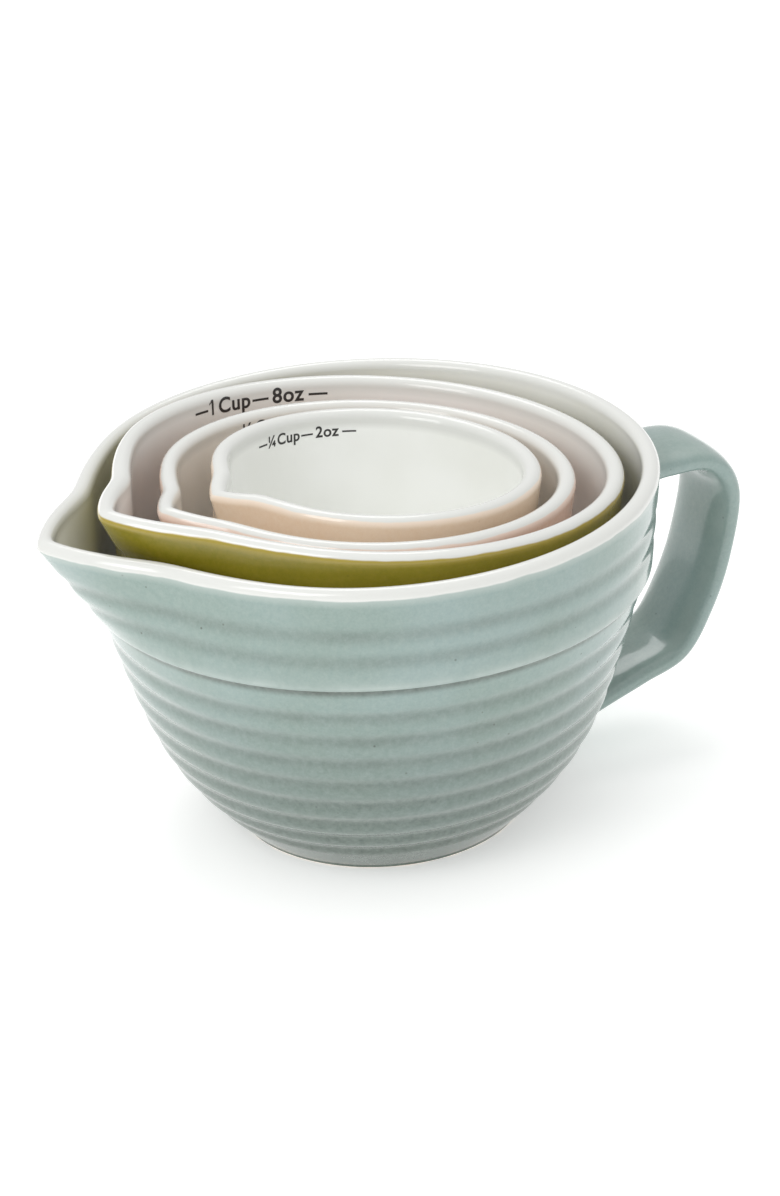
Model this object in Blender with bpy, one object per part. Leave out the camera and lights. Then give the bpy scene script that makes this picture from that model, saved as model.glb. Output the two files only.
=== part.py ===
"""A nest of four stoneware measuring cups: large_cup with its strap handle, one_cup, half_cup
and quarter_cup, each standing inside the one before it.

Units are metres and +Z is up. The spouts point to -X and the handle to +X. The origin is the middle
of the large cup's foot, on the surface that it stands on.
"""
import math

import bmesh
import bpy
import numpy as np
from mathutils import Matrix, Vector

MM = 0.001

# Driving dimensions of the set.
LARGE_RIM_RADIUS = 57 * MM       # bowl axis to the widest line of the lip
LARGE_RIM_HEIGHT = 71.2 * MM     # table to the widest line of the lip
WALL = 3.6 * MM
FLOOR = 5.6 * MM                 # clay under the inside floor
FOOT_EDGE = 0.7 * MM             # softened edge round the flat foot
SEAT_GAP = 0.3 * MM              # clearance kept where two pieces meet

# Shape shared by every cup, as shares of its own rim radius and height.
COLLAR_DEPTH = 0.268             # lip down to the ledge under the collar
COLLAR_FOOT_RADIUS = 0.972       # the collar draws in a little towards its ledge
WALL_UNDER_LEDGE = 0.950         # where the bowl wall starts under the ledge
FOOT_RADIUS = 0.515
BODY_HANDLES = ((0.799, 0.365), (0.755, 0.281))    # Bezier handles: radius, share of ledge height
INSIDE_FLOOR_RADIUS = 0.38       # where the inside wall has run out into the flat floor

# Throwing ribs of the large cup: soft grooves, the first one measured down from the top of its wall.
BODY_GROOVES = dict(first=7.4 * MM, pitch=5.8 * MM, count=8, depth=0.55 * MM)
COLLAR_GROOVES = dict(first=7.4 * MM, pitch=5.4 * MM, count=2, depth=0.35 * MM)

# Spout: a V with a rounded tip that is pushed out of the collar, which it draws in a little on both sides.
TIP_ROUNDING = 0.08
SPOUT_FAIRING = 8.5
NECK_PINCH = 0.11                # share of the spout's reach that the collar is drawn in beside it
NECK_CENTRE = 1.9                # where that is deepest, in spout half-angles
SPOUT_INSIDE_NARROWING = 2.0     # degrees that the channel is narrower each side than the outside
SPOUT_ZONE = 30.0                # degrees either side of the spout that get closely spaced points
SPOUT_STEPS = 24
ROUND_STEPS = 34

# Handle: its centre line in the XZ plane as shares of the large rim radius, height from the rim line.
HANDLE_PATH = ((0.92, -0.192), (1.12, -0.190), (1.29, -0.212), (1.378, -0.345), (1.340, -0.585),
               (1.266, -0.775), (1.163, -0.925), (1.00, -0.982), (0.84, -1.031), (0.58, -1.111))
HANDLE_WIDTH = 20 * MM
HANDLE_THICKNESS = 6.0 * MM
HANDLE_EDGE_POWER = 2.6          # 2 is an ellipse; more makes a flatter strap with fuller edges
HANDLE_STEPS_PER_SPAN = 4
HANDLE_SECTION_POINTS = 16

LARGE_CUP = dict(
    name="large_cup", rim_radius=LARGE_RIM_RADIUS, rim_height=LARGE_RIM_HEIGHT, ribbed=True,
    spout_reach=10.9 * MM, spout_half_angle=19.9, spout_lip_rise=0.7 * MM,
    rim_centre=(0.0, 0.0, LARGE_RIM_HEIGHT), lean=0.0, lean_bearing=0.0, turn=0.0,
    colour=(0.38, 0.46, 0.44), roughness=0.22)

# Each inner cup lies a few degrees over towards the handle, the way it drops into the cup around it.
INNER_CUPS = (
    dict(name="one_cup", rim_radius=49.9 * MM, rim_height=64.6 * MM, ribbed=False,
         spout_reach=8.9 * MM, spout_half_angle=19.0, spout_lip_rise=0.6 * MM,
         rim_centre=(0.3 * MM, -0.2 * MM, 72.65 * MM), lean=4.8, lean_bearing=8.6, turn=7.0,
         colour=(0.23, 0.19, 0.02), roughness=0.15),
    dict(name="half_cup", rim_radius=40.6 * MM, rim_height=56.05 * MM, ribbed=False,
         spout_reach=5.4 * MM, spout_half_angle=15.6, spout_lip_rise=0.8 * MM,
         rim_centre=(0.2 * MM, -0.1 * MM, 70.6 * MM), lean=4.4, lean_bearing=12.9, turn=6.3,
         colour=(0.60, 0.36, 0.25), roughness=0.15),
    dict(name="quarter_cup", rim_radius=32.2 * MM, rim_height=50.25 * MM, ribbed=False,
         spout_reach=3.3 * MM, spout_half_angle=14.3, spout_lip_rise=-1.0 * MM,
         rim_centre=(1.6 * MM, -1.5 * MM, 72.4 * MM), lean=5.5, lean_bearing=14.6, turn=2.3,
         colour=(0.75, 0.58, 0.43), roughness=0.15),
)


def clear_scene():
    for old in list(bpy.data.objects):
        bpy.data.objects.remove(old, do_unlink=True)


def glaze(name, colour, roughness):
    material = bpy.data.materials.new(name + "_glaze")
    material.use_nodes = True
    shader = material.node_tree.nodes["Principled BSDF"]
    shader.inputs["Base Color"].default_value = (*colour, 1.0)
    shader.inputs["Roughness"].default_value = roughness
    shader.inputs["Metallic"].default_value = 0.0
    return material


def add_object(name, mesh_builder, material):
    mesh = bpy.data.meshes.new(name)
    mesh_builder.to_mesh(mesh)
    mesh_builder.free()
    mesh.materials.append(material)
    mesh.shade_smooth()
    mesh.set_sharp_from_angle(angle=math.radians(40))
    piece = bpy.data.objects.new(name, mesh)
    bpy.context.scene.collection.objects.link(piece)
    return piece


def bezier(points, count):
    """Points evenly spaced along a cubic Bezier curve."""
    share = np.linspace(0, 1, 400)[:, None]
    start, first, second, end = (np.array(p, float) for p in points)
    curve = ((1 - share) ** 3 * start + 3 * (1 - share) ** 2 * share * first
             + 3 * (1 - share) * share ** 2 * second + share ** 3 * end)
    length = np.concatenate([[0], np.cumsum(np.linalg.norm(np.diff(curve, axis=0), axis=1))])
    wanted = np.linspace(0, length[-1], count)
    return np.stack([np.interp(wanted, length, curve[:, axis]) for axis in range(2)], axis=1)


def outward_normals(profile):
    """Unit normals of a profile that runs upwards, pointing away from the axis."""
    along = np.gradient(profile, axis=0)
    along /= np.linalg.norm(along, axis=1)[:, None]
    return np.stack([along[:, 1], -along[:, 0]], axis=1)


def body_profile(cup, count):
    """The bowl wall from the foot up to the ledge, without ribs."""
    radius = cup["rim_radius"]
    ledge = cup["rim_height"] * (1 - COLLAR_DEPTH)
    low_handle, high_handle = BODY_HANDLES[1], BODY_HANDLES[0]
    return bezier([(FOOT_RADIUS * radius, FOOT_EDGE),
                   (low_handle[0] * radius, low_handle[1] * ledge),
                   (high_handle[0] * radius, high_handle[1] * ledge),
                   (WALL_UNDER_LEDGE * radius, ledge)], count)


def grooved(wall, first, pitch, count, depth):
    """A wall outline that runs upwards, with soft grooves pressed in and a crest between each two."""
    steps = np.linalg.norm(np.diff(wall, axis=0), axis=1)
    from_top = np.append(np.cumsum(steps[::-1])[::-1], 0.0)
    crests_and_grooves = first + 0.5 * pitch * np.arange(-1, 2 * count)
    plain = np.linspace(crests_and_grooves[-1], from_top[0], 3)[1:]
    stations = np.concatenate([[0.0], crests_and_grooves, plain])[::-1]

    def at_stations(values):
        return np.stack([np.interp(stations, from_top[::-1], column[::-1]) for column in values.T], axis=1)

    pressed = at_stations(wall)
    grooves = slice(3, 2 * count + 2, 2)
    pressed[grooves] -= depth * at_stations(outward_normals(wall))[grooves]
    return pressed


def cup_profile(cup):
    """Outline from the foot up the outside, over the lip and down to the inside floor.

    Each point is (radius, height, share of the way through the wall from outside to inside).
    """
    radius = cup["rim_radius"]
    rim = cup["rim_height"]
    ledge = rim * (1 - COLLAR_DEPTH)
    half_wall = WALL / 2

    outside = body_profile(cup, 200 if cup["ribbed"] else 8)
    collar = np.linspace((COLLAR_FOOT_RADIUS * radius, ledge), (radius, rim), 3)
    if cup["ribbed"]:
        outside = grooved(outside, **BODY_GROOVES)
        collar = grooved(collar, **COLLAR_GROOVES)

    lip_angles = np.radians([45, 90, 135, 180])
    lip = np.stack([radius - half_wall + half_wall * np.cos(lip_angles),
                    rim + half_wall * np.sin(lip_angles)], axis=1)

    throat = (COLLAR_FOOT_RADIUS * radius - WALL, ledge)
    inside_wall = body_profile(cup, 8) - WALL * outward_normals(body_profile(cup, 8))
    above_floor = inside_wall[inside_wall[:, 1] > FLOOR + 2.5 * MM][::-1][1:]
    floor = (INSIDE_FLOOR_RADIUS * radius, FLOOR)

    foot = (FOOT_RADIUS * radius - FOOT_EDGE, 0.0)
    through_lip = lip_angles / math.pi
    return ([(*point, 0.0) for point in (foot, *outside, *collar)]
            + [(*point, through) for point, through in zip(lip, through_lip)]
            + [(*point, 1.0) for point in (throat, *above_floor, floor)])


def spout_push(angle, half_angle):
    """Share of the spout's reach at an angle from its middle: 1 at the tip, 0 round the bowl."""
    def faired(value):
        return math.log1p(math.exp(SPOUT_FAIRING * value)) / SPOUT_FAIRING
    spread = math.hypot(angle / half_angle, TIP_ROUNDING) - TIP_ROUNDING
    pinch = math.exp(-(angle / half_angle - NECK_CENTRE) ** 2)
    return faired(1 - spread) / faired(1) - NECK_PINCH * pinch


def ring_angles():
    """Directions round the bowl in degrees from the spout, close together in the spout."""
    in_spout = np.linspace(-SPOUT_ZONE, SPOUT_ZONE, SPOUT_STEPS + 1)
    round_bowl = np.linspace(SPOUT_ZONE, 360 - SPOUT_ZONE, ROUND_STEPS + 1)[1:-1]
    return np.concatenate([in_spout, round_bowl])


def turned_bowl(profile, cup):
    """Spins the outline into one closed bowl and pushes the spout out of the collar."""
    rim = cup["rim_height"]
    ledge = rim * (1 - COLLAR_DEPTH)
    builder = bmesh.new()
    rings = []
    for radius, height, through in profile:
        share = min(1.0, max(0.0, (height - ledge) / (rim - ledge)))
        half_angle = cup["spout_half_angle"] - SPOUT_INSIDE_NARROWING * through
        ring = []
        for angle in ring_angles():
            push = share * spout_push(abs((angle + 180) % 360 - 180), half_angle)
            reach = radius + push * cup["spout_reach"]
            direction = math.radians(180 + angle)
            ring.append(builder.verts.new((reach * math.cos(direction), reach * math.sin(direction),
                                           height + push * share * cup["spout_lip_rise"])))
        rings.append(ring)
    steps = len(rings[0])
    for lower, upper in zip(rings, rings[1:]):
        for k in range(steps):
            following = (k + 1) % steps
            builder.faces.new((lower[k], lower[following], upper[following], upper[k]))
    builder.faces.new(rings[0][::-1])
    builder.faces.new(rings[-1])
    bmesh.ops.triangulate(builder, faces=builder.faces)
    return builder


def make_cup(cup):
    piece = add_object(cup["name"], turned_bowl(cup_profile(cup), cup),
                       glaze(cup["name"], cup["colour"], cup["roughness"]))
    bearing = math.radians(cup["lean_bearing"])
    lean_axis = Vector((-math.sin(bearing), math.cos(bearing), 0.0))
    leaning = Matrix.Rotation(math.radians(cup["lean"]), 4, lean_axis)
    turned = Matrix.Rotation(math.radians(cup["turn"]), 4, "Z")
    foot_from_rim = Matrix.Translation((0.0, 0.0, -cup["rim_height"]))
    piece.matrix_world = Matrix.Translation(cup["rim_centre"]) @ leaning @ turned @ foot_from_rim
    return piece


def smooth_path(points, steps_per_span):
    """Catmull-Rom curve through the points."""
    points = [Vector(p) for p in points]
    padded = [2 * points[0] - points[1], *points, 2 * points[-1] - points[-2]]
    path = []
    for before, start, end, after in zip(padded, padded[1:], padded[2:], padded[3:]):
        for step in range(steps_per_span):
            t = step / steps_per_span
            path.append(0.5 * (2 * start + (end - before) * t
                               + (2 * before - 5 * start + 4 * end - after) * t ** 2
                               + (3 * start - before - 3 * end + after) * t ** 3))
    path.append(points[-1])
    return path


def rounded_power(value, power):
    return math.copysign(abs(value) ** (2 / power), value)


def strap_section():
    """Cross-section of the strap: across its width, then through its thickness."""
    section = []
    for k in range(HANDLE_SECTION_POINTS):
        angle = 2 * math.pi * (k + 0.5) / HANDLE_SECTION_POINTS
        section.append((HANDLE_WIDTH / 2 * rounded_power(math.cos(angle), HANDLE_EDGE_POWER),
                        HANDLE_THICKNESS / 2 * rounded_power(math.sin(angle), HANDLE_EDGE_POWER)))
    return section


def make_strap():
    scale = LARGE_RIM_RADIUS
    path = smooth_path([(x * scale, LARGE_RIM_HEIGHT + z * scale) for x, z in HANDLE_PATH],
                       HANDLE_STEPS_PER_SPAN)
    builder = bmesh.new()
    rings = []
    for k, point in enumerate(path):
        along = (path[min(k + 1, len(path) - 1)] - path[max(k - 1, 0)]).normalized()
        outward = Vector((-along.y, along.x))
        rings.append([builder.verts.new((point.x + through * outward.x, across,
                                         point.y + through * outward.y))
                      for across, through in strap_section()])
    for near, far in zip(rings, rings[1:]):
        for k in range(HANDLE_SECTION_POINTS):
            following = (k + 1) % HANDLE_SECTION_POINTS
            builder.faces.new((near[k], near[following], far[following], far[k]))
    builder.faces.new(rings[0][::-1])
    builder.faces.new(rings[-1])
    bmesh.ops.recalc_face_normals(builder, faces=builder.faces)
    return add_object("large_cup_handle", builder,
                      glaze("large_cup_handle", LARGE_CUP["colour"], LARGE_CUP["roughness"]))


def make_seat_cutter():
    """The large cup's outer form with the seat gap added, which trims the handle's ends."""
    body = body_profile(LARGE_CUP, 12)
    radius = LARGE_CUP["rim_radius"]
    ledge = LARGE_RIM_HEIGHT * (1 - COLLAR_DEPTH)
    outline = [*body, (COLLAR_FOOT_RADIUS * radius, ledge), (radius, LARGE_RIM_HEIGHT)]
    steps = 4 * ROUND_STEPS
    builder = bmesh.new()
    rings = [[builder.verts.new(((r + SEAT_GAP) * math.cos(2 * math.pi * k / steps),
                                 (r + SEAT_GAP) * math.sin(2 * math.pi * k / steps), z))
              for k in range(steps)] for r, z in outline]
    for lower, upper in zip(rings, rings[1:]):
        for k in range(steps):
            following = (k + 1) % steps
            builder.faces.new((lower[k], lower[following], upper[following], upper[k]))
    builder.faces.new(rings[0][::-1])
    builder.faces.new(rings[-1])
    cutter = add_object("handle_seat_cutter", builder, glaze("cutter", (0.5, 0.5, 0.5), 0.5))
    cutter.hide_render = True
    cutter.display_type = "WIRE"
    return cutter


def trim_to_seat(strap, cutter):
    trim = strap.modifiers.new("seat", "BOOLEAN")
    trim.operation = "DIFFERENCE"
    trim.solver = "EXACT"
    trim.object = cutter


clear_scene()
make_cup(LARGE_CUP)
trim_to_seat(make_strap(), make_seat_cutter())
for inner_cup in INNER_CUPS:
    make_cup(inner_cup)
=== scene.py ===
import math

import bpy
import numpy as np
from mathutils import Matrix, Vector


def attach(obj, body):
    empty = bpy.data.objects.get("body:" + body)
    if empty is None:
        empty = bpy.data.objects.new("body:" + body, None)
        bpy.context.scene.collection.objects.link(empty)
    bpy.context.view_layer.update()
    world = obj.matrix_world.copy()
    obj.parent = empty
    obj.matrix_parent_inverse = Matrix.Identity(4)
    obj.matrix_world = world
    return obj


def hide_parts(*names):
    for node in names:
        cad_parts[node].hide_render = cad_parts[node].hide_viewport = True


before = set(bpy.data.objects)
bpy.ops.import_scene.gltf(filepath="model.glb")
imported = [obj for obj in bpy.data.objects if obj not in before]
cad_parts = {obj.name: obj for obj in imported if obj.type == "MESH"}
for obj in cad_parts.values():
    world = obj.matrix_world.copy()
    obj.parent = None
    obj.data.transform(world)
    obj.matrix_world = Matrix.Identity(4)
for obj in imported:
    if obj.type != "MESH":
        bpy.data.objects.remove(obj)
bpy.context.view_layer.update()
mm = 0.001


def hexColour(code):
    channels = [int(code[i:i + 2], 16) / 255 for i in (1, 3, 5)]    # sRGB hex to linear
    return tuple(c / 12.92 if c <= 0.04045 else ((c + 0.055) / 1.055) ** 2.4 for c in channels) + (1.0,)


def addNode(tree, kind, settings=None, links=None):
    node = tree.nodes.new(kind)
    for name, value in (settings or {}).items():
        if hasattr(node, name):
            setattr(node, name, value)
        else:
            node.inputs[name].default_value = value
    for socket, source in (links or {}).items():
        tree.links.new(source, node.inputs[socket])
    return node


def smoothStep(low, high, value):
    t = np.clip((value - low) / (high - low), 0, 1)
    return t * t * (3 - 2 * t)


family = dict(
    collarDepth=0.268, collarFoot=0.972, underLedge=0.950, foot=0.515,   # shares of lip height and radius
    lowHandle=(0.755, 0.281), highHandle=(0.799, 0.365),                 # Bezier handles of the wall
    insideFloor=0.38,
    wall=3.6 * mm, floor=5.6 * mm, footEdge=0.7 * mm,
    ledgeRound=0.9 * mm, ledgeFillet=0.35 * mm,
    ribPitch=5.8 * mm, firstRib=7.4 * mm, ribDepth=0.50 * mm, ribSharpness=1.25,
    collarFirstRib=7.4 * mm, collarPitch=5.4 * mm, collarRibDepth=0.32 * mm,
    tipRounding=0.08, fairing=8.5, neckPinch=0.11, neckCentre=1.9, insideNarrowing=2.0,
    wobble=0.12 * mm)

largeCup = dict(
    node="large_cup", body="large", slot="blue_grey_glaze", lipRadius=57 * mm, lipHeight=71.2 * mm,
    spoutReach=10.9 * mm, spoutHalfAngle=19.9, spoutRise=0.7 * mm, lipCentre=(0, 0, 71.2 * mm),
    lean=0, leanBearing=0, turn=0, ribs=8, glazeTurn=2, seed=1, columns=336)
oneCup = dict(
    node="one_cup", body="one", slot="olive_glaze", lipRadius=49.9 * mm, lipHeight=64.6 * mm,
    spoutReach=8.9 * mm, spoutHalfAngle=19.0, spoutRise=0.6 * mm, lipCentre=(0.3 * mm, -0.2 * mm, 72.65 * mm),
    lean=4.8, leanBearing=8.6, turn=7.0, ribs=7, glazeTurn=26, seed=2, columns=304)
halfCup = dict(
    node="half_cup", body="half", slot="pink_glaze", lipRadius=40.6 * mm, lipHeight=56.05 * mm,
    spoutReach=5.4 * mm, spoutHalfAngle=15.6, spoutRise=0.8 * mm, lipCentre=(0.2 * mm, -0.1 * mm, 70.6 * mm),
    lean=4.4, leanBearing=12.9, turn=6.3, ribs=6, glazeTurn=35, seed=3, columns=280)
quarterCup = dict(
    node="quarter_cup", body="quarter", slot="peach_glaze", lipRadius=32.2 * mm, lipHeight=50.25 * mm,
    spoutReach=3.3 * mm, spoutHalfAngle=14.3, spoutRise=-1.0 * mm, lipCentre=(1.6 * mm, -1.5 * mm, 72.4 * mm),
    lean=5.5, leanBearing=14.6, turn=2.3, ribs=5, glazeTurn=38, seed=4, columns=256)


def evenly(points, spacing):
    points = np.array(points, float)                 # resamples a polyline at even spacing
    steps = np.linalg.norm(np.diff(points[:, :2], axis=0), axis=1)
    length = np.concatenate([[0], np.cumsum(steps)])
    wanted = np.linspace(0, length[-1], max(2, int(round(length[-1] / spacing)) + 1))
    return np.stack([np.interp(wanted, length, points[:, k]) for k in range(points.shape[1])], axis=1)


def bezier(start, first, second, end, count=300):
    t = np.linspace(0, 1, count)[:, None]
    start, first, second, end = (np.array(p, float) for p in (start, first, second, end))
    return ((1 - t) ** 3 * start + 3 * (1 - t) ** 2 * t * first + 3 * (1 - t) * t ** 2 * second + t ** 3 * end)


def arc(centre, radius, fromDegrees, toDegrees, count):
    a = np.radians(np.linspace(fromDegrees, toDegrees, count))
    return np.stack([centre[0] + radius * np.cos(a), centre[1] + radius * np.sin(a)], axis=1)


def normalsOf(profile):
    along = np.gradient(profile[:, :2], axis=0)
    along /= np.linalg.norm(along, axis=1)[:, None]
    return np.stack([along[:, 1], -along[:, 0]], axis=1)


def wallCurve(cup):
    r, ledge = cup["lipRadius"], cup["lipHeight"] * (1 - family["collarDepth"])
    return bezier((family["foot"] * r, family["footEdge"]),
                  (family["lowHandle"][0] * r, family["lowHandle"][1] * ledge),
                  (family["highHandle"][0] * r, family["highHandle"][1] * ledge),
                  (family["underLedge"] * r, ledge))


def ribWave(distance, first, pitch, count):
    phase = (distance - first) / pitch               # 0 at each groove's middle
    wave = (0.5 + 0.5 * np.cos(2 * math.pi * phase)) ** family["ribSharpness"]
    inside = (phase > -0.5) & (phase < count - 0.5)
    return np.where(inside, wave, 0.0)


def outsideProfile(cup):
    # columns: radius, height, groove (0 crest to 1 groove, and painted shade under the ledge), thin glaze (0 to
    # 1)
    f = family
    r, rim = cup["lipRadius"], cup["lipHeight"]
    ledge = rim * (1 - f["collarDepth"])
    footR = f["foot"] * r

    under = np.stack([np.linspace(0.4 * mm, footR - f["footEdge"], 12), np.zeros(12)], axis=1)
    edge = arc((footR - f["footEdge"], f["footEdge"]), f["footEdge"], -90, 0, 7)[1:-1]
    base = np.concatenate([under, edge])
    base = np.concatenate([base, np.zeros((len(base), 2))], axis=1)

    wall = evenly(wallCurve(cup), 0.55 * mm)
    fromTop = np.linalg.norm(np.diff(wall, axis=0), axis=1)[::-1].cumsum()[::-1]
    fromTop = np.append(fromTop, 0)
    groove = ribWave(fromTop, f["firstRib"], f["ribPitch"], cup["ribs"])
    wall = wall - f["ribDepth"] * groove[:, None] * normalsOf(wall)
    shadeAndPool = 1 - smoothStep(0.5 * mm, 2.2 * mm, fromTop)                  # painted shade under the ledge, where some glaze also gathers
    grooveAndLedgeShade = np.maximum(0.42 * groove, shadeAndPool)
    wall = np.concatenate([wall, grooveAndLedgeShade[:, None], np.zeros((len(wall), 1))], axis=1)
    wall = wall[wall[:, 1] < ledge - f["ledgeFillet"]]

    underR, collarR = f["underLedge"] * r, f["collarFoot"] * r
    fillet = arc((underR + f["ledgeFillet"], ledge - f["ledgeFillet"]), f["ledgeFillet"], 180, 90, 6)
    # the fillet under the ledge gets the full darkening: painted shade, with some pooled glaze
    fillet = np.concatenate([fillet, np.full((6, 1), 1.0), np.zeros((6, 1))], axis=1)
    roundR = f["ledgeRound"]
    shoulder = arc((collarR - roundR, ledge + roundR), roundR, -90, 0, 9)[1:]
    thin = np.linspace(0.2, 1.0, 8)[:, None]
    # the ledge's round is darkened on its underside: painted shade, fading to thin pale glaze at the edge
    shoulder = np.concatenate([shoulder, 0.9 * (1 - thin) ** 2, thin], axis=1)

    collar = evenly([(collarR, ledge + roundR), (r, rim)], 0.5 * mm)[1:]
    groove = ribWave(rim - collar[:, 1], f["collarFirstRib"], f["collarPitch"], 2)
    collar[:, 0] -= f["collarRibDepth"] * groove
    edgeThin = np.exp(-(collar[:, 1] - ledge - roundR) / (1.0 * mm))
    collar = np.concatenate([collar, 0.38 * groove[:, None], edgeThin[:, None]], axis=1)
    return np.concatenate([base, wall, fillet, shoulder, collar]), len(base)


def insideProfile(cup):
    f = family
    r, rim = cup["lipRadius"], cup["lipHeight"]
    ledge = rim * (1 - f["collarDepth"])
    wall = evenly(wallCurve(cup), 1.2 * mm)
    inner = (wall - f["wall"] * normalsOf(wall))[::-1]
    inner = inner[(inner[:, 1] > f["floor"] + 2.5 * mm) & (inner[:, 1] < ledge - 5 * mm)]
    throat = evenly([(r - f["wall"], rim), (f["collarFoot"] * r - f["wall"], ledge)], 1.2 * mm)[:-4]
    floorEnd = np.array([(f["insideFloor"] * r, f["floor"]), (0.2 * r, f["floor"]), (0.4 * mm, f["floor"])])
    points = np.concatenate([throat, inner, floorEnd])
    points = evenly(points, 0.8 * mm)
    for _ in range(14):                              # softens the turn under the collar and at the floor
        points[1:-1] = 0.25 * points[:-2] + 0.5 * points[1:-1] + 0.25 * points[2:]
    points[:, 1] = np.maximum(points[:, 1], f["floor"])
    return evenly(points, 1.3 * mm)


def spoutPush(angle, halfAngle):
    def faired(v):
        return np.log1p(np.exp(family["fairing"] * v)) / family["fairing"]
    spread = np.hypot(angle / halfAngle, family["tipRounding"]) - family["tipRounding"]
    pinch = np.exp(-(angle / halfAngle - family["neckCentre"]) ** 2)     # the potter's fingers draw the neck in
    return faired(1 - spread) / faired(1.0) - family["neckPinch"] * pinch


def columnAngles(count):
    zone = 31.0                                      # closely spaced points where the spout is
    inSpout = count * 2 // 5
    return np.concatenate([np.linspace(-zone, zone, inSpout, endpoint=False),
                           np.linspace(zone, 360 - zone, count - inSpout, endpoint=False)])


def placeOf(cup):
    bearing = math.radians(cup["leanBearing"])
    axis = Vector((-math.sin(bearing), math.cos(bearing), 0))
    return (Matrix.Translation(cup["lipCentre"]) @ Matrix.Rotation(math.radians(cup["lean"]), 4, axis)
            @ Matrix.Rotation(math.radians(cup["turn"]), 4, "Z")
            @ Matrix.Translation((0, 0, -cup["lipHeight"])))


def drawnIn(cup, height, angle):
    # hand-thrown: the upper wall strays a little inside the true circle, never outside it
    rng = np.random.default_rng(cup["seed"])
    waves = [(k, rng.uniform(0.3, 1.0) / k, rng.uniform(0, 6.28)) for k in (2, 3, 5)]
    most = sum(size for _, size, _ in waves)
    sway = sum(size * np.cos(k * np.radians(angle) + start) for k, size, start in waves)
    high = smoothStep(0.25 * cup["lipHeight"], cup["lipHeight"], height)
    return family["wobble"] * high * (most - sway) / (2 * most)


def surfacePoint(cup, radius, height, angle, depth=0.0):
    # angle in degrees from the spout; depth is 0 on the outside and 1 on the inside of the wall
    rim = cup["lipHeight"]
    ledge = rim * (1 - family["collarDepth"])
    share = np.clip((height - ledge) / (rim - ledge), 0, 1)
    folded = np.abs((angle + 180) % 360 - 180)
    push = share * spoutPush(folded, cup["spoutHalfAngle"] - family["insideNarrowing"] * depth)
    reach = radius + push * cup["spoutReach"] - drawnIn(cup, height, angle)
    turn = np.radians(180 + angle)
    lift = push * share * cup["spoutRise"]
    return reach * np.cos(turn), reach * np.sin(turn), height + lift


def buildCup(cup, material):
    r, rim = cup["lipRadius"], cup["lipHeight"]
    outside, footCount = outsideProfile(cup)
    half = family["wall"] / 2
    lipArc = arc((r - half, rim), half, 0, 180, 25)[1:]
    inside = insideProfile(cup)[1:]
    profile = np.concatenate([outside[:, :2], lipArc, inside])
    count = len(profile)

    # what the glaze does along the profile
    travel = np.concatenate([[0], np.cumsum(np.linalg.norm(np.diff(profile, axis=0), axis=1))])
    lineAt = travel[len(outside) - 1] + half * math.radians(cup["glazeTurn"])
    colourSide = (lineAt - travel) / mm              # mm below the line where the white glaze begins
    groove = np.concatenate([outside[:, 2], np.zeros(count - len(outside))])
    thin = np.concatenate([outside[:, 3], np.zeros(count - len(outside))])
    footLine = travel[footCount] - 0.6 * mm           # the glaze is wiped back to the edge it stands on
    aboveFoot = (travel - footLine) / mm
    depth = np.concatenate([np.zeros(len(outside)), np.linspace(0, 1, len(lipArc)), np.ones(len(inside))])

    angles = columnAngles(cup["columns"])
    columns = len(angles)
    x, y, z = surfacePoint(cup, profile[:, None, 0], profile[:, None, 1], angles[None, :], depth[:, None])
    vertices = np.stack([x, y, z], axis=2).reshape(-1, 3)

    quads = []
    k = np.arange(columns)
    following = (k + 1) % columns
    for ring in range(count - 1):
        a, b = ring * columns, (ring + 1) * columns
        quads.append(np.stack([a + k, a + following, b + following, b + k], axis=1))
    quads = np.concatenate(quads)
    faces = [tuple(q) for q in quads.tolist()]
    bottomHub = len(vertices)
    vertices = np.concatenate([vertices, [[0, 0, 0]], [[0, 0, family["floor"]]]])
    faces += [(bottomHub, int(j), int(i)) for i, j in zip(k, following)]
    top = (count - 1) * columns
    faces += [(bottomHub + 1, int(top + i), int(top + j)) for i, j in zip(k, following)]

    mesh = bpy.data.meshes.new(cup["node"] + "_clay")
    mesh.from_pydata(vertices.tolist(), [], faces)
    mesh.transform(placeOf(cup))
    for name, values, hubs in (("colourSide", colourSide, (20.0, -50.0)), ("groove", groove, (0, 0)),
                               ("thin", thin, (0, 0)), ("aboveFoot", aboveFoot, (-30.0, 30.0))):
        layer = mesh.attributes.new(name, "FLOAT", "POINT")
        layer.data.foreach_set("value", np.concatenate([np.repeat(values, columns), hubs]).astype(np.float32))
    mesh.materials.append(material)
    mesh.shade_smooth()
    piece = bpy.data.objects.new(cup["node"] + "_glazed", mesh)
    bpy.context.scene.collection.objects.link(piece)
    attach(piece, cup["body"])
    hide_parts(cup["node"])
    print("cup:", cup["node"], len(vertices), "points")


clay = dict(bisque="#cdbfa8", iron="#7d6247", roughness=0.85)      # unglazed foot: dry, sandy, no shine
whiteGlaze = dict(base="#f7f8f5", shade="#f1f2ed", lip="#e0e1dd")  # tin-white inside, greyed over the lip by painted shade
# in each coloured glaze, the colour mixed into the rib grooves also paints the shade under the ledge
blueGreyGlaze = dict(                                # curdled and cloudy, olive where it pools, iron specks
    base="#90a5a2", cloud="#889d96", pooled="#4d5a50", shadeAndPool="#363f34", broken="#b2beb9", speck="#454b44",
    speckAmount=0.7, speckSpacing=3.2, lowTint=0.95, name="stoneware reactive blue-grey glaze")
oliveGlaze = dict(                                   # strong flat yellow-green, golden where it runs thin
    base="#8e841c", cloud="#7f7714", pooled="#5f5a14", shadeAndPool="#4a4510", broken="#b39c40", speck="#4b4512",
    speckAmount=0.4, speckSpacing=4.0, lowTint=0.3, name="stoneware dipped olive glaze")
pinkGlaze = dict(                                    # milky and even, clay showing pale at the edges
    base="#d8b39d", cloud="#d2ac96", pooled="#b18670", shadeAndPool="#9c7460", broken="#ecd9cb", speck="#97705c",
    speckAmount=0.3, speckSpacing=4.0, lowTint=0.2, name="stoneware dipped pink glaze")
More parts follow.
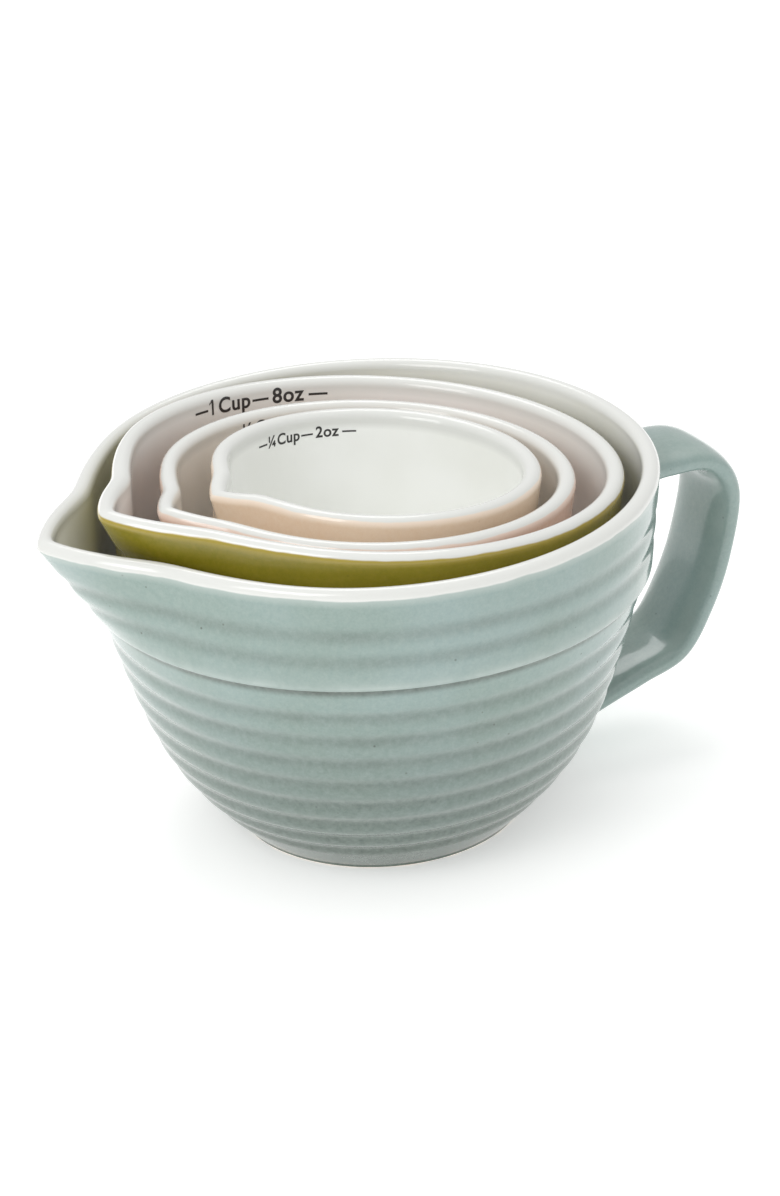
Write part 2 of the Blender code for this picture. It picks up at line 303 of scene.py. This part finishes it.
peachGlaze = dict(                                   # the palest, nearly cream at the edges
    base="#ebd2b6", cloud="#e6caad", pooled="#cfa985", shadeAndPool="#b78f6c", broken="#f3e5d6", speck="#b0906f",
    speckAmount=0.3, speckSpacing=4.0, lowTint=0.2, name="stoneware dipped peach glaze")


def glassSurface(tree, colour, roughness, bump):
    # a fired glaze is a clear glass skin over colour: sharp reflections on a soft body
    shader = addNode(tree, "ShaderNodeBsdfPrincipled",
                     {"IOR": 1.52, "Coat Weight": 0.35, "Coat Roughness": 0.04, "Coat IOR": 1.5},
                     {"Base Color": colour, "Roughness": roughness, "Normal": bump})
    addNode(tree, "ShaderNodeOutputMaterial", links={"Surface": shader.outputs["BSDF"]})


def mixColour(tree, factor, a, b):
    node = addNode(tree, "ShaderNodeMix", {"data_type": "RGBA"})
    for socket, value in ((0, factor), (6, a), (7, b)):
        if isinstance(value, (tuple, float, int)):
            node.inputs[socket].default_value = value
        else:
            tree.links.new(value, node.inputs[socket])
    return node.outputs[2]


def stonewareGlaze(colours):
    material = bpy.data.materials.new(colours["name"])
    material.use_nodes = True
    tree = material.node_tree
    tree.nodes.clear()
    place = addNode(tree, "ShaderNodeTexCoord").outputs["Object"]
    colourSide, groove, thin, aboveFoot = (
        addNode(tree, "ShaderNodeAttribute", {"attribute_name": name}).outputs["Fac"]
        for name in ("colourSide", "groove", "thin", "aboveFoot"))

    def noise(size, detail=3.0, roughness=0.55):      # size in mm of one blotch
        return addNode(tree, "ShaderNodeTexNoise",
                       {"Scale": 1 / (size * mm), "Detail": detail, "Roughness": roughness},
                       {"Vector": place}).outputs["Fac"]

    def ramp(source, low, high, lowValue=0.0, highValue=1.0):
        return addNode(tree, "ShaderNodeMapRange",
                       {"From Min": low, "From Max": high, "To Min": lowValue, "To Max": highValue},
                       {"Value": source}).outputs["Result"]

    def combine(operation, a, b, clamp=False):
        node = addNode(tree, "ShaderNodeMath", {"operation": operation, "use_clamp": clamp})
        for index, value in enumerate((a, b)):
            if isinstance(value, (float, int)):
                node.inputs[index].default_value = value
            else:
                tree.links.new(value, node.inputs[index])
        return node.outputs[0]

    clouds = ramp(noise(26, 2.0), 0.35, 0.65)         # slow drift of the firing
    mottle = ramp(noise(1.3, 4.0, 0.7), 0.3, 0.7)     # fine curdling of the reactive glaze
    grain = ramp(noise(0.45, 2.0), 0.3, 0.7)
    coloured = mixColour(tree, clouds, hexColour(colours["base"]), hexColour(colours["cloud"]))
    low = ramp(aboveFoot, 8, 56, colours["lowTint"], 0.0)             # darker towards the foot: painted shade, with the glaze also lying thicker there
    coloured = mixColour(tree, low, coloured, hexColour(colours["pooled"]))
    # darker where the glaze pools in the rib grooves, and painted shade under the ledge
    poolingAndShade = combine("MULTIPLY", groove, ramp(noise(9, 2.0), 0.25, 0.75, 0.6, 1.0), True)
    coloured = mixColour(tree, poolingAndShade, coloured, hexColour(colours["shadeAndPool"]))
    coloured = mixColour(tree, combine("MULTIPLY", mottle, 0.22), coloured, hexColour(colours["broken"]))
    coloured = mixColour(tree, combine("MULTIPLY", grain, 0.10), coloured, hexColour(colours["pooled"]))

    cells = addNode(tree, "ShaderNodeTexVoronoi",
                    {"Scale": 1 / (colours["speckSpacing"] * mm), "Randomness": 1.0}, {"Vector": place})
    pick = addNode(tree, "ShaderNodeSeparateColor", links={"Color": cells.outputs["Color"]}).outputs["Red"]
    dot = ramp(cells.outputs["Distance"], 0.09, 0.045)                # iron specks about 0.3 mm across
    speck = combine("MULTIPLY", dot, ramp(pick, 0.55, 0.95), True)
    coloured = mixColour(tree, combine("MULTIPLY", speck, colours["speckAmount"]), coloured,
                         hexColour(colours["speck"]))

    # glaze runs thin over hard edges and just below the white line
    wavyLine = combine("ADD", colourSide, ramp(noise(7, 2.0), 0.2, 0.8, -0.22, 0.22))
    nearLine = ramp(wavyLine, 1.6, 0.1, 0.0, 0.75)
    worn = combine("MULTIPLY", thin, ramp(noise(5, 3.0), 0.3, 0.7, 0.3, 0.9))
    edge = combine("MAXIMUM", worn, nearLine, True)
    coloured = mixColour(tree, edge, coloured, hexColour(colours["broken"]))

    white = mixColour(tree, clouds, hexColour(whiteGlaze["base"]), hexColour(whiteGlaze["shade"]))
    lipShade = ramp(colourSide, -6.4, -5.0)            # painted shade greys the white over the rounded lip
    white = mixColour(tree, lipShade, white, hexColour(whiteGlaze["lip"]))
    onColour = ramp(wavyLine, -0.12, 0.16)
    glazed = mixColour(tree, onColour, white, coloured)

    rawLine = combine("ADD", aboveFoot, ramp(noise(5, 2.0), 0.2, 0.8, -0.3, 0.3))
    raw = ramp(rawLine, 0.1, -0.1)
    iron = ramp(noise(0.8, 2.0), 0.66, 0.74)
    bisque = mixColour(tree, iron, hexColour(clay["bisque"]), hexColour(clay["iron"]))
    colour = mixColour(tree, raw, glazed, bisque)
    roughness = ramp(raw, 0, 1, 0.16, clay["roughness"])

    orangePeel = noise(5.5, 1.0)                       # glaze settles in shallow waves as it cools
    pinholes = noise(0.5, 2.0)
    bump = addNode(tree, "ShaderNodeBump", {"Strength": 0.35, "Distance": 0.06 * mm}, {"Height": orangePeel})
    bump = addNode(tree, "ShaderNodeBump", {"Strength": 0.25, "Distance": 0.012 * mm},
                   {"Height": pinholes, "Normal": bump.outputs["Normal"]})
    glassSurface(tree, colour, roughness, bump.outputs["Normal"])
    return material


largeGlaze = stonewareGlaze(blueGreyGlaze)
buildCup(largeCup, largeGlaze)
buildCup(oneCup, stonewareGlaze(oliveGlaze))
buildCup(halfCup, stonewareGlaze(pinkGlaze))
buildCup(quarterCup, stonewareGlaze(peachGlaze))


handle = dict(
    path=((0.92, -0.192), (1.12, -0.190), (1.29, -0.212), (1.378, -0.345), (1.340, -0.585),
          (1.266, -0.775), (1.163, -0.925), (1.00, -0.982), (0.84, -1.031), (0.60, -1.105)),
    width=20 * mm, thickness=5.7 * mm, edgePower=2.6, stepsPerSpan=16, sectionPoints=48,
    rootFlare=1.6 * mm, rootDepth=2.0 * mm)


def smoothPath(points, stepsPerSpan):
    points = [Vector(p) for p in points]
    padded = [2 * points[0] - points[1], *points, 2 * points[-1] - points[-2]]
    path = []
    for before, start, end, after in zip(padded, padded[1:], padded[2:], padded[3:]):
        for step in range(stepsPerSpan):
            t = step / stepsPerSpan
            path.append(0.5 * (2 * start + (end - before) * t
                               + (2 * before - 5 * start + 4 * end - after) * t ** 2
                               + (3 * start - before - 3 * end + after) * t ** 3))
    path.append(points[-1])
    return path


def outerRadiusAt(height):
    wall = wallCurve(largeCup)
    ledge = largeCup["lipHeight"] * (1 - family["collarDepth"])
    if height >= ledge:
        share = (height - ledge) / (largeCup["lipHeight"] - ledge)
        return largeCup["lipRadius"] * (family["collarFoot"] + share * (1 - family["collarFoot"]))
    return float(np.interp(height, wall[:, 1], wall[:, 0]))


def buildHandle(material):
    scale, rim = largeCup["lipRadius"], largeCup["lipHeight"]
    path = smoothPath([(x * scale, rim + z * scale) for x, z in handle["path"]], handle["stepsPerSpan"])
    count = handle["sectionPoints"]
    vertices, groove, thin = [], [], []
    for k, point in enumerate(path):
        along = (path[min(k + 1, len(path) - 1)] - path[max(k - 1, 0)]).normalized()
        outward = Vector((-along.y, along.x))
        clear = point.x - outerRadiusAt(point.y)      # flares where the clay is pressed on to the wall
        flare = handle["rootFlare"] * math.exp(-max(clear, 0) / (3.0 * mm))
        for i in range(count):
            a = 2 * math.pi * i / count
            power = 2 / handle["edgePower"]
            across = math.copysign(abs(math.cos(a)) ** power, math.cos(a))
            through = math.copysign(abs(math.sin(a)) ** power, math.sin(a))
            across *= handle["width"] / 2 + flare * 0.6
            through *= handle["thickness"] / 2 + flare * 0.8
            x, height = point.x + through * outward.x, point.y + through * outward.y
            buried = outerRadiusAt(height) - handle["rootDepth"]
            grow = max(1.0, buried / math.hypot(x, across))   # both ends stop inside the wall
            vertices.append((x * grow, across * grow, height))
            corner = abs(math.cos(a)) ** 0.5 * abs(math.sin(a)) ** 0.5 * 1.41
            thin.append(max(0.0, corner - 0.82) * 3.2)
            groove.append(math.exp(-max(clear, 0) / (1.2 * mm)))
    faces = []
    for ring in range(len(path) - 1):
        for i in range(count):
            j = (i + 1) % count
            faces.append((ring * count + j, ring * count + i, (ring + 1) * count + i, (ring + 1) * count + j))
    faces.append(tuple(range(count)))
    faces.append(tuple(range((len(path) - 1) * count, len(path) * count))[::-1])
    mesh = bpy.data.meshes.new("handle_clay")
    mesh.from_pydata(vertices, [], faces)
    for name, values in (("colourSide", [25.0] * len(vertices)), ("groove", groove), ("thin", thin),
                         ("aboveFoot", [60.0] * len(vertices))):
        mesh.attributes.new(name, "FLOAT", "POINT").data.foreach_set("value", np.array(values, np.float32))
    mesh.materials.append(material)
    mesh.shade_smooth()
    piece = bpy.data.objects.new("large_cup_handle_glazed", mesh)
    bpy.context.scene.collection.objects.link(piece)
    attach(piece, "large")
    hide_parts("large_cup_handle")
    print("handle:", len(vertices), "points")


buildHandle(largeGlaze)


markInk = dict(colour="#2b2a29", roughness=0.35, name="fired black transfer enamel")   # matt beside the glaze
marks = (                                            # middle is in degrees round from the spout
    dict(cup=oneCup, first="1", after="8oz", letterHeight=3.2 * mm, below=2.45 * mm, middle=-94.5),
    dict(cup=halfCup, first="½", after="4oz", letterHeight=2.7 * mm, below=2.35 * mm, middle=-95),
    dict(cup=quarterCup, first="¼", after="2oz", letterHeight=2.3 * mm, below=3.1 * mm, middle=-88),
)


def inkMaterial():
    material = bpy.data.materials.new(markInk["name"])
    material.use_nodes = True
    tree = material.node_tree
    tree.nodes.clear()
    place = addNode(tree, "ShaderNodeTexCoord").outputs["Object"]
    worn = addNode(tree, "ShaderNodeTexNoise", {"Scale": 1 / (0.7 * mm), "Detail": 2.0}, {"Vector": place})
    ink = mixColour(tree, worn.outputs["Fac"], hexColour(markInk["colour"]), hexColour("#3a3938"))
    shader = addNode(tree, "ShaderNodeBsdfPrincipled", {"Roughness": markInk["roughness"], "IOR": 1.5},
                     {"Base Color": ink})
    addNode(tree, "ShaderNodeOutputMaterial", links={"Surface": shader.outputs["BSDF"]})
    return material


def figureOne(height):
    # the printed 1 has a short flag, which the plain font's stroke lacks
    stem, top, left, flag = 0.15 * height, height, 0.20 * height, 0.22 * height
    steps = 10
    points = [(left + side * stem, top * k / steps) for k in range(steps + 1) for side in (0, 1)]
    faces = [(2 * k, 2 * k + 1, 2 * k + 3, 2 * k + 2) for k in range(steps)]
    flagStart = len(points)
    points += [(left, top), (left, top - 0.15 * height), (0, top - flag - 0.10 * height), (0, top - flag)]
    return np.array(points), faces + [(flagStart, flagStart + 3, flagStart + 2, flagStart + 1)]


def flatText(text, height):
    curve = bpy.data.curves.new("letters", "FONT")
    curve.body = text
    curve.size = height / 0.72                        # capitals are about 0.72 of the font's size
    curve.resolution_u = 5
    curve.space_character = 1.07
    curve.offset = 0.030 * height                     # a slightly bold pen
    holder = bpy.data.objects.new("letters", curve)
    bpy.context.scene.collection.objects.link(holder)
    bpy.context.view_layer.update()
    mesh = bpy.data.meshes.new_from_object(holder.evaluated_get(bpy.context.evaluated_depsgraph_get()))
    bpy.data.objects.remove(holder)
    bpy.data.curves.remove(curve)
    points = np.array([v.co[:2] for v in mesh.vertices])
    faces = [tuple(p.vertices) for p in mesh.polygons]
    bpy.data.meshes.remove(mesh)
    return points, faces


def dash(length, height):
    thick = 0.15 * height
    steps = 8
    x = np.linspace(0, length, steps + 1)
    points = np.array([(v, 0.36 * height + side * thick / 2) for v in x for side in (-1, 1)])
    faces = [(2 * k, 2 * k + 2, 2 * k + 3, 2 * k + 1) for k in range(steps)]
    return points, faces


def layOut(mark):
    h = mark["letterHeight"]
    first = figureOne(h) if mark["first"] == "1" else flatText(mark["first"], h)
    runs = [dash(1.1 * h, h), first, flatText("Cup", h), dash(1.15 * h, h), flatText(mark["after"], h),
            dash(1.25 * h, h)]
    gaps = (0.12, 0.42 if mark["first"] == "1" else 0.22, 0.16, 0.28, 0.30, 0)
    allPoints, allFaces, x = [], [], 0.0
    for (points, faces), gap in zip(runs, gaps):
        offset = sum(len(p) for p in allPoints)
        allPoints.append(points - [points[:, 0].min() - x, 0])
        allFaces += [tuple(v + offset for v in f) for f in faces]
        x = allPoints[-1][:, 0].max() + gap * h
    points = np.concatenate(allPoints)
    return points - [points[:, 0].mean(), 0], allFaces


def printMark(mark, ink):
    cup = mark["cup"]
    flat, faces = layOut(mark)
    half = family["wall"] / 2
    lip = arc((cup["lipRadius"] - half, cup["lipHeight"]), half, 130, 180, 12)
    inner = np.concatenate([lip, insideProfile(cup)[1:]])
    rising = inner[inner[:, 1] > 0.5 * cup["lipHeight"]][::-1]
    height = cup["lipHeight"] - mark["below"] + flat[:, 1]
    radius = np.interp(height, rising[:, 1], rising[:, 0])
    angle = mark["middle"] - np.degrees(flat[:, 0] / (cup["lipRadius"] - family["wall"]))
    x, y, z = surfacePoint(cup, radius - 0.05 * mm, height, angle, 1.0)
    mesh = bpy.data.meshes.new(cup["node"] + "_mark")
    mesh.from_pydata(np.stack([x, y, z], axis=1).tolist(), [], faces)
    mesh.transform(placeOf(cup))
    mesh.materials.append(ink)
    piece = bpy.data.objects.new(cup["node"] + "_measuring_mark", mesh)
    bpy.context.scene.collection.objects.link(piece)
    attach(piece, cup["body"])
    print("mark:", mark["first"], "cup", len(mesh.polygons), "faces")


markMaterial = inkMaterial()
for mark in marks:
    printMark(mark, markMaterial)


view = dict(azimuth=-26.2, elevation=25.93, roll=-2.69, lens=96.73, distance=11.11, aimAcross=0.0652,
            aimBelow=0.4743)


def addCamera():
    scale, rim = largeCup["lipRadius"], largeCup["lipHeight"]
    a, e = math.radians(view["azimuth"]), math.radians(view["elevation"])
    right = Vector((math.cos(a), math.sin(a), 0))
    back = Vector((math.sin(a) * math.cos(e), -math.cos(a) * math.cos(e), math.sin(e)))
    aim = right * view["aimAcross"] * scale + Vector((0, 0, rim - view["aimBelow"] * scale))
    data = bpy.data.cameras.new("camera")
    data.lens = view["lens"]
    data.clip_start = 0.01
    camera = bpy.data.objects.new("camera", data)
    bpy.context.scene.collection.objects.link(camera)
    up = back.cross(right)
    turn = Matrix((right, up, back)).transposed()
    camera.matrix_world = (Matrix.Translation(aim + back * view["distance"] * scale) @ turn.to_4x4()
                           @ Matrix.Rotation(math.radians(view["roll"]), 4, "Z"))
    bpy.context.scene.camera = camera


def addSoftbox(name, azimuth, elevation, distance, size, power, colour="#ffffff"):
    a, e = math.radians(azimuth), math.radians(elevation)
    data = bpy.data.lights.new(name, "AREA")
    data.shape = "RECTANGLE"
    data.size, data.size_y = size
    data.energy = power
    data.color = hexColour(colour)[:3]
    light = bpy.data.objects.new(name, data)
    bpy.context.scene.collection.objects.link(light)
    aim = Vector((0, 0, 0.04))
    back = Vector((math.sin(a) * math.cos(e), -math.cos(a) * math.cos(e), math.sin(e)))
    light.location = aim + back * distance
    light.rotation_euler = back.to_track_quat("Z", "Y").to_euler()


def addFloor():
    data = bpy.data.meshes.new("floor")
    half = 3.0                                       # metres, far past the edge of the picture
    corners = [(-half, -half, 0), (half, -half, 0), (half, half, 0), (-half, half, 0)]
    data.from_pydata(corners, [], [(0, 1, 2, 3)])
    floor = bpy.data.objects.new("floor", data)
    bpy.context.scene.collection.objects.link(floor)
    material = bpy.data.materials.new("pale studio card")
    material.use_nodes = True
    shader = material.node_tree.nodes["Principled BSDF"]
    shader.inputs["Base Color"].default_value = hexColour("#f4f4f3")
    shader.inputs["Roughness"].default_value = 0.9
    shader.inputs["Emission Color"].default_value = hexColour("#ffffff")
    shader.inputs["Emission Strength"].default_value = 0.36    # lit from beneath, so that it reads as white
    data.materials.append(material)


def addWorld():
    world = bpy.data.worlds.new("studio")
    world.use_nodes = True
    background = world.node_tree.nodes["Background"]
    background.inputs["Color"].default_value = hexColour("#ffffff")
    background.inputs["Strength"].default_value = 0.74
    bpy.context.scene.world = world
    bpy.context.scene.view_settings.view_transform = "Standard"    # whites stay white, as on a lit sweep


addCamera()
addSoftbox("key softbox", -66, 42, 0.9, (0.42, 0.42), 1.9)
addSoftbox("back softbox", 160, 55, 0.9, (0.5, 0.35), 1.5)
addSoftbox("overhead softbox", 0, 88, 1.6, (2.4, 2.4), 4.0)
addFloor()
addWorld()
print("camera and lights placed")
